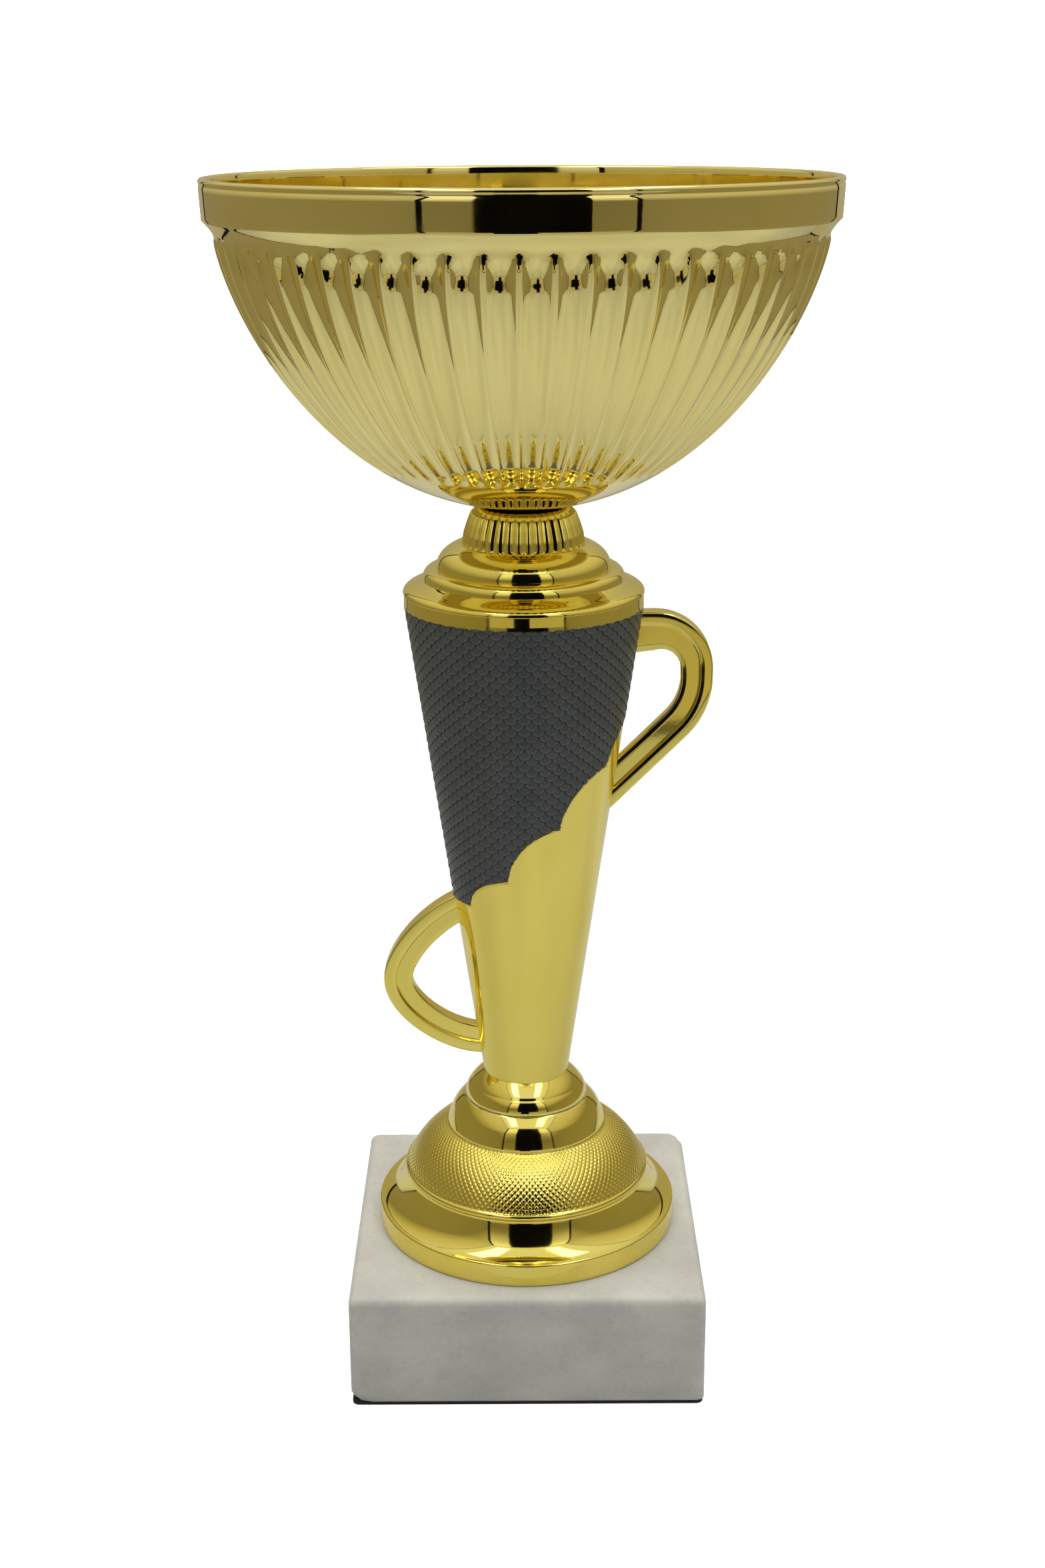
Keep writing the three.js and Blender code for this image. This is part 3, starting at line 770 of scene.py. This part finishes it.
def lower_edge():
    """Outer edge of the lower arm, as an ear with its nose at the farthest point.

    It is drawn on the upper arm's side.
    """
    reach = -lower_low[0]
    nose = lower_high[2] - 16.15
    root, foot = (8.7, nose + 16.7), (5.5, nose - 13.75)
    share = np.linspace(0, 1, 61)[:, None]

    def curve(a, b, c, d):
        a, b, c, d = map(np.array, (a, b, c, d))
        left = 1 - share
        return left ** 3 * a + 3 * share * left ** 2 * b + 3 * share ** 2 * left * c + share ** 3 * d

    return outline(
        curve(root, (15.9, nose + 15.2), (reach, nose + 6.3), (reach, nose)),
        curve((reach, nose), (reach, nose - 7.5), (13.1, nose - 15), foot),
    )


upper_arm = sweep_handle("handle_upper", upper_edge(), width=5.2, flare=1.9, mirrored=False)
finish_piece(upper_arm, plastic_gold, "upper_handle")
lower_arm = sweep_handle("handle_lower", lower_edge(), width=4.95, flare=0, mirrored=True)
finish_piece(lower_arm, plastic_gold, "lower_handle")


# ---------------------------------------------------------------- cap and fluted neck

NECK_RIBS = 36
POINTS_PER_RIB = 14


def make_cap():
    """The lid of the column: a coved brim, a small step and a dome cut short at the neck's seat."""
    bottom, radius = CAP_BOTTOM, cap_high[0]
    seat, seat_radius = neck_low[2] - CLEARANCE, 10.4
    dome_foot, dome_low = 14.25, bottom + 4.3
    dome_centre, dome_rise = 7.87, 4.27
    angle = np.radians(np.linspace(0, 90, 40))
    dome = np.stack([dome_centre + (dome_foot - dome_centre) * np.cos(angle),
                     dome_low + dome_rise * np.sin(angle)], axis=-1)
    dome = dome[dome[:, 0] > seat_radius]
    profile = outline(
        line((radius - 1.5, bottom), (radius - 0.12, bottom)),
        line((radius, bottom + 0.12), (radius, bottom + 0.2)),
        bend((radius, bottom + 0.2), (radius - 0.1, bottom + 0.9), (18.6, bottom + 1.35), 10),
        bend((18.6, bottom + 1.35), (17.4, bottom + 1.75), (16.55, bottom + 2.3), 6),
        bend((16.55, bottom + 2.3), (16.55, bottom + 3.3), (15.9, bottom + 3.85), 6),
        bend((15.9, bottom + 3.85), (15.3, bottom + 4.25), (dome_foot + 0.15, bottom + 4.12), 5),
        line((dome_foot, bottom + 4.15), (dome_foot, dome_low), 2),
        dome,
        line((seat_radius - 0.05, seat + 0.15), (seat_radius - 0.2, seat)),
        line((BORE, seat), (BORE, seat - 2)),
        line((9, seat - 2.2), (12.4, bottom + 2.6)),
        line((15.2, bottom + 0.4), (17.4, bottom + 0.1)),
    )
    return turned("cap_dome", profile, around(200))


def make_neck():
    """The ribbed drum under the bowl, with its upper edge rounded off."""
    bottom, top = neck_low[2], neck_high[2]
    side = np.array([(9.98, 0), (10.0, 0.9), (9.88, 1.9), (9.27, 3.8),
                     (8.64, 5.4), (8.0, 6.0), (7.3, 6.28)])
    heights = np.linspace(0, side[-1, 1], 44)
    outer = np.stack([np.interp(heights, side[:, 1], side[:, 0]), bottom + heights], axis=-1)
    for _ in range(3):
        outer[1:-1, 0] = (outer[:-2, 0] + 2 * outer[1:-1, 0] + outer[2:, 0]) / 4
    hollow, plate = 5, 2
    profile = outline(
        line((hollow, bottom), (9.8, bottom)),
        outer,
        line((BORE, top), (BORE, top - plate)),
        line((hollow, top - plate), (hollow, bottom + 0.1)),
    )

    def ribs(angle, radius, height):
        """Cuts sharp grooves between rounded ribs, fading out at the foot."""
        depth = 0.36
        wave = np.abs(np.sin(angle * NECK_RIBS / 2))
        foot = np.clip((height - bottom - 0.2) / 0.5, 0, 1) ** 0.5
        outside = radius > 6.5
        return radius - (depth * (1 - wave) + 0.04) * foot * outside, height

    return turned("neck_ribs", profile, around(NECK_RIBS * POINTS_PER_RIB), ribs, crease=60)


finish_piece(make_cap(), plastic_gold, "column_cap")
finish_piece(make_neck(), plastic_gold, "fluted_neck")


# ---------------------------------------------------------------- bowl, its nut and the rod

FLUTES = 60
FLUTE_START = math.radians(2.4)
# Every flute has a spoon, an oval hollow near its upper end.
# Half widths of a flute and a spoon, and the depth of a flute, in pitches.
FLUTE_HALF = 0.40
SPOON_HALF = 0.37
FLUTE_DEPTH = 0.14
# A spoon's extra depth, half its height, and the distance from its upper end to the flute's.
SPOON_DEPTH = 0.42
SPOON_REACH = 2.2
SPOON_DROP = 1.3
# Radius of the bowl where the flutes reach their lower ends.
FLUTE_FOOT = 24.0
# Over what length a flute gets shallower at the top, and over what length the ribs beside it narrow.
FLUTE_FADE = 4.0
RIB_TIP = 1.6
BOWL_WALL = 0.8


def bowl_side(inset, spacing):
    """The bowl's rounded body from its foot up to the plain cove: most of a quarter superellipse."""
    radius, depth = 47.72 - inset, 43.08 - inset
    top = BOWL_RIM - 8.29
    angle = np.radians(np.linspace(81, 0, 300))
    curve = np.stack([radius * np.cos(angle) ** 0.93, top - depth * np.sin(angle) ** 1.404], axis=-1)
    return spaced(curve, spacing)


def make_bowl():
    """The thin pressed bowl: fluted inside and out, with a plain band under a rolled lip."""
    rim, band, lip = bowl_high[0], BOWL_RIM - 6.25, 0.5
    outside = bowl_side(0, 0.62)
    inside = bowl_side(BOWL_WALL, 0.9)[::-1]
    profile = outline(
        line((BORE, BOWL_BOTTOM), (6.9, BOWL_BOTTOM)),
        outside,
        bend(outside[-1] + (0.02, 0.3), (48.2, band - 1.0), (rim - 0.42, band - 0.12), 5),
        line((rim - 0.27, band + 0.05), (rim - 0.03, BOWL_RIM - 1.25), 8),
        line((rim - 0.14, BOWL_RIM - 1.12), (rim - 0.12, BOWL_RIM - 0.98)),
        arc((rim - lip, BOWL_RIM - lip), lip, -40, 180, 10),
        line((rim - 2 * lip, BOWL_RIM - lip), (rim - BOWL_WALL - 0.3, band + 0.2), 6),
        bend((rim - BOWL_WALL - 0.4, band), (47.3, band - 1.1), inside[0] + (0.02, 0.3), 4),
        inside,
        line((7, BOWL_BOTTOM + BOWL_WALL), (BORE, BOWL_BOTTOM + BOWL_WALL)),
    )
    out_span, in_span = span_of(outside, profile), span_of(inside, profile)

    # Each spoon's place sideways and upwards and its depth differ a little from flute to flute.
    rng = np.random.default_rng(11)
    spreads = ((0, 0.03), (0, 0.25), (1, 0.2))
    uneven = [middle + rng.uniform(-reach, reach, FLUTES) for middle, reach in spreads]

    def flute_depth(angle, line_points):
        """Depth of the flutes and their spoons below the surface."""
        across = ((angle - FLUTE_START) / TURN * FLUTES + 0.5) % 1 - 0.5
        pitch = (TURN * line_points[:, 0] / FLUTES)[None, :]
        run = run_of(line_points)
        if line_points[0, 1] > line_points[-1, 1]:
            run = run[-1] - run
        low = np.interp(FLUTE_FOOT, np.sort(line_points[:, 0]), np.sort(run))
        high = run.max() + 0.2
        low_cap = FLUTE_HALF * TURN * FLUTE_FOOT / FLUTES
        past_low = np.clip((low + low_cap - run) / low_cap, 0, None)[None, :]
        past_high = np.clip((run - high + FLUTE_FADE) / FLUTE_FADE, 0, 1)[None, :]
        tip = np.clip((run - high + RIB_TIP) / RIB_TIP, 0, 1)[None, :]
        narrowed = 1 - 0.8 * tip
        reached = (across / FLUTE_HALF * narrowed) ** 2 + past_low ** 2
        depth = FLUTE_DEPTH * pitch * (np.clip(1 - reached, 0, None) * (1 - past_high ** 2)) ** 0.7
        flute = np.round((angle - FLUTE_START) / TURN * FLUTES).astype(int) % FLUTES
        sideways, upwards, deeper = (share[flute] for share in uneven)
        up = (run[None, :] - high + SPOON_REACH + SPOON_DROP - upwards) / SPOON_REACH
        spoon = ((across - sideways) / SPOON_HALF) ** 4 + up ** 2
        return depth + SPOON_DEPTH * deeper * np.clip(1 - spoon, 0, None) ** 0.8

    def flutes(angle, radius, height):
        radius, height = radius + 0 * angle, height + 0 * angle
        for span, points, sign in ((out_span, outside, -1), (in_span, inside, 1)):
            normal = normals_of(points)
            depth = sign * flute_depth(angle, points)
            radius[:, span] += depth * normal[:, 0]
            height[:, span] += depth * normal[:, 1]
        return radius, height

    # Places of the mesh lines across a flute, close together where the ribs begin.
    offsets = np.array([-0.5, -0.42, -0.39, -0.32, -0.17, 0, 0.17, 0.32, 0.39, 0.42])
    angles = FLUTE_START + ((np.arange(FLUTES)[:, None] + offsets[None, :]) / FLUTES * TURN).reshape(-1)
    return turned("fluted_bowl", profile, angles, flutes, crease=50)


def make_nut():
    """The hexagon nut inside the bowl."""
    bottom, top = nut_low[2], nut_high[2]
    corner = nut_high[0]
    flat = corner * math.sqrt(3) / 2
    profile = outline(
        line((BORE - 0.1, bottom), (corner - 0.5, bottom)),
        line((corner, bottom + 0.35), (corner, top - 0.35), 8),
        line((corner - 0.5, top), (BORE + 0.3, top)),
        line((BORE - 0.1, top - 0.3), (BORE - 0.1, bottom + 0.3)),
    )

    def hexagon(angle, radius, height):
        side = (angle + TURN / 12) % (TURN / 6) - TURN / 12
        face = np.where(radius > BORE + 0.5, flat / np.cos(side), radius)
        return np.minimum(radius, face), height

    return turned("hex_nut", profile, around(96), hexagon, crease=25)


def make_rod():
    """The threaded rod that holds everything together, with chamfered ends."""
    bottom, top = rod_low[2], rod_high[2]
    pitch, depth, chamfer, rows_per_turn = 1.0, 0.32, 0.4, 6
    rows = int((top - bottom) / pitch * rows_per_turn)
    profile = outline(
        line((0.05, bottom), (ROD_RADIUS - chamfer, bottom)),
        line((ROD_RADIUS, bottom + chamfer), (ROD_RADIUS, top - chamfer), rows),
        line((ROD_RADIUS - chamfer, top), (0.05, top)),
    )

    def thread(angle, radius, height):
        wave = np.abs(((height / pitch - angle / TURN) % 1) - 0.5) * 2
        threaded = radius > ROD_RADIUS - 0.05
        return radius - depth * wave * threaded, height

    return turned("screw_rod", profile, around(20), thread, crease=60)


finish_piece(make_bowl(), plate_gold, "bowl")
finish_piece(make_nut(), steel_look, "bowl_nut")
finish_piece(make_rod(), steel_look, "threaded_rod")

for node, look in (("base_pad", felt_look), ("bottom_washer", steel_look), ("bottom_nut", steel_look),
                   ("bowl_washer", steel_look)):
    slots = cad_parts[node].data.materials
    slots.clear()
    slots.append(look)


# ---------------------------------------------------------------- floor, light tent and camera

def plain_quad(name, corners, material):
    """A flat four-cornered sheet that belongs to the stage, not to the object."""
    mesh = bpy.data.meshes.new(name)
    mesh.from_pydata(corners, [], [(0, 1, 2, 3)])
    mesh.materials.append(material)
    quad = bpy.data.objects.new(name, mesh)
    bpy.context.scene.collection.objects.link(quad)
    return quad


def glow(name, stops, fade=None):
    """A cloth wall that glows by its own light.

    stops are (height in metres, brightness, warmth 0 to 1); fade is (depth, share) pairs along Y.
    """
    nodes = Nodes(name)
    split = nodes.add("ShaderNodeSeparateXYZ")
    nodes.link(nodes.place, split.inputs["Vector"])
    peak = max(level for height, level, warmth in stops)
    tones = [(height / TENT_TOP, tuple(level / peak * (1 - warmth * (1 - part)) for part in WARM))
             for height, level, warmth in stops]
    color = nodes.ramp(nodes.span(split.outputs["Z"], 0, 1, 0, TENT_TOP), tones)
    if fade:
        first, last = fade[0][0], fade[-1][0]
        shares = [((depth - first) / (last - first), (share,) * 3) for depth, share in fade]
        along = nodes.span(split.outputs["Y"], 0, 1, first, last)
        color = nodes.multiply(color, nodes.ramp(along, shares))
    emission = nodes.add("ShaderNodeEmission")
    emission.inputs["Strength"].default_value = peak
    nodes.link(color, emission.inputs["Color"])
    output = nodes.tree.nodes["Material Output"]
    nodes.link(emission.outputs["Emission"], output.inputs["Surface"])
    return nodes.material


def floor_look(name, pale, dim, glow_level):
    """Pale floor cloth, a little duller in wide soft patches, with a glow of its own."""
    nodes = Nodes(name)
    dull = tuple(dim * part for part in pale)
    nodes.color(nodes.ramp(nodes.noise(170, detail=1), [(0.35, dull), (0.62, pale)]))
    nodes.roughness(nodes.span(nodes.noise(30, detail=3), 0.8, 0.95))
    nodes.shader.inputs["Specular IOR Level"].default_value = 0.0
    nodes.shader.inputs["Emission Color"].default_value = (1, 1, 1, 1)
    nodes.shader.inputs["Emission Strength"].default_value = glow_level
    return nodes.material


def plain_black():
    """The dark room behind the tent's opening and seams."""
    nodes = Nodes("tent opening")
    nodes.color(nodes.ramp(nodes.noise(50), [(0.3, (0.002, 0.002, 0.002)), (0.7, (0.004, 0.004, 0.004))]))
    nodes.roughness(nodes.span(nodes.noise(50), 0.9, 1.0))
    nodes.shader.inputs["Specular IOR Level"].default_value = 0.0
    return nodes.material


def make_floor():
    """The white floor that the camera sees, and just under it the duller cloth that the object reflects."""
    half = 6.0
    for name, depth, pale, dim, glow_level in (("floor", 0, (0.80, 0.81, 0.85), 0.97, 0.80),
                                               ("floor_cloth", 0.0003, (0.53, 0.545, 0.58), 0.84, 0.03)):
        corners = [(x * half, y * half, -depth) for x, y in ((-1, -1), (1, -1), (1, 1), (-1, 1))]
        floor = plain_quad(name, corners, floor_look(name, pale, dim, glow_level))
        floor.visible_camera = name == "floor"
        for ray in ("visible_glossy", "visible_diffuse", "visible_shadow"):
            setattr(floor, ray, name != "floor")


# Places in the tent, in metres.
TENT_LEFT, TENT_RIGHT = -0.25, 0.30
TENT_FRONT, TENT_BACK = -0.37, 0.36
TENT_TOP = 0.505
# The front opening and the narrower slit below it: left, right, low and high.
OPENING = (-0.103, 0.150, 0.072, 0.478)
OPENING_FOOT = (-0.060, 0.034, 0.014, 0.074)
SEAM = 0.020
FLOOR_SEAM = 0.004
# Colour of a wall whose warmth is 1.
WARM = (1, 0.88, 0.56)
ROOF_GLOW = 0.84
STRIP_GLOW = 3.6


def make_tent():
    """A light tent that the camera looks into through its front opening.

    Its cloth is seen only in reflections.
    """
    left, right, near, far, top = TENT_LEFT, TENT_RIGHT, TENT_FRONT, TENT_BACK, TENT_TOP
    side = glow("tent side",
                [(0, 0.29, 1), (0.175, 0.27, 1), (0.225, 0.44, 0.9), (0.30, 0.60, 0.6), (top, 0.74, 0.3)],
                [(near, 0.8), (-0.2, 0.92), (0, 1.0), (far, 1.0)])
    front = glow("tent front",
                 [(0, 0.52, 0.9), (0.05, 0.44, 0.95), (0.10, 0.24, 1), (0.15, 0.19, 1), (0.19, 0.28, 0.9),
                  (0.25, 0.58, 0.4), (0.36, 0.95, 0.2), (top, 1.1, 0.1)])
    back = glow("tent back", [(0, 0.40, 1), (0.2, 0.42, 0.8), (top, 0.6, 0.3)])
    roof = glow("tent roof", [(0, ROOF_GLOW, 0), (top, ROOF_GLOW, 0)], [(near, 1.0), (0, 0.97), (far, 0.8)])
    strip = glow("lamp strip", [(0, STRIP_GLOW, 0), (top, STRIP_GLOW, 0)])
    dark = plain_black()

    def across(y, left, right, low, high):
        return [(left, y, low), (right, y, low), (right, y, high), (left, y, high)]

    def along(x, near, far, low, high):
        return [(x, near, low), (x, far, low), (x, far, high), (x, near, high)]

    def flat(z, left, right, near, far):
        return [(left, near, z), (right, near, z), (right, far, z), (left, far, z)]

    gap = 0.002
    walls = [
        ("tent_left", along(left, near, far, 0, top), side),
        ("tent_right", along(right, near, far, 0, top), side),
        ("tent_back", across(far, left, right, 0, top), back),
        ("tent_front", across(near, left, right, 0, top), front),
        ("tent_roof", flat(top, left, right, near, far), roof),
        ("tent_opening", across(near + gap, *OPENING), dark),
        ("tent_opening_foot", across(near + gap, *OPENING_FOOT), dark),
        ("seam_front_left", across(near + gap, left, left + SEAM, 0, top), dark),
        ("seam_front_right", across(near + gap, right - SEAM, right, 0, top), dark),
        ("seam_front_top", across(near + gap, left, right, top - SEAM / 2, top), dark),
        ("seam_back_left", across(far - gap, left, left + SEAM, 0, top), dark),
        ("seam_back_right", across(far - gap, right - SEAM, right, 0, top), dark),
        ("seam_left_top", along(left + gap, near, far, top - SEAM / 2, top), dark),
        ("seam_right_top", along(right - gap, near, far, top - SEAM / 2, top), dark),
        ("seam_front_floor", across(near + gap, left, right, 0, FLOOR_SEAM), dark),
        ("seam_left_floor", along(left + gap, near, far, 0, FLOOR_SEAM), dark),
        ("seam_right_floor", along(right - gap, near, far, 0, FLOOR_SEAM), dark),
    ]
    half_strip, strip_front, strip_back = 0.042, -0.32, 0.05
    for name, x in (("strip_left", -0.145), ("strip_right", 0.16)):
        sheet = flat(top - 2 * gap, x - half_strip, x + half_strip, strip_front, strip_back)
        walls.append((name, sheet, strip))
    for name, corners, material in walls:
        plain_quad(name, corners, material).visible_camera = False


def make_lamp():
    """A wide soft lamp under the roof, for the tops of things; it isn't seen in the metal."""
    light = bpy.data.lights.new("soft_top", "AREA")
    light.shape = "RECTANGLE"
    light.size, light.size_y = 0.40, 0.30
    light.energy = 1.9
    lamp = bpy.data.objects.new("soft_top", light)
    lamp.location = (0, 0.02, TENT_TOP - 0.01)
    lamp.visible_camera = False
    lamp.visible_glossy = False
    bpy.context.scene.collection.objects.link(lamp)


def make_world():
    """The evenly white room round the tent."""
    world = bpy.data.worlds.new("white room")
    world.use_nodes = True
    world.node_tree.nodes["Background"].inputs["Color"].default_value = (1, 1, 1, 1)
    world.node_tree.nodes["Background"].inputs["Strength"].default_value = 2.6
    bpy.context.scene.world = world


def make_camera():
    """A camera a little above the bowl's rim, looking slightly down."""
    camera = bpy.data.cameras.new("camera")
    camera.sensor_width = 36
    camera.lens = 48.19
    camera.clip_start = 0.01
    view = bpy.data.objects.new("camera", camera)
    view.location = (-0.00036, -0.33615, 0.2112)
    view.rotation_euler = (math.radians(71.875), 0, 0)
    view.rotation_euler.rotate_axis("Z", math.radians(-0.29))
    bpy.context.scene.collection.objects.link(view)
    bpy.context.scene.camera = view


make_floor()
make_tent()
make_lamp()
make_world()
make_camera()

scene = bpy.context.scene
scene.view_settings.view_transform = "Standard"
scene.cycles.use_denoising = True
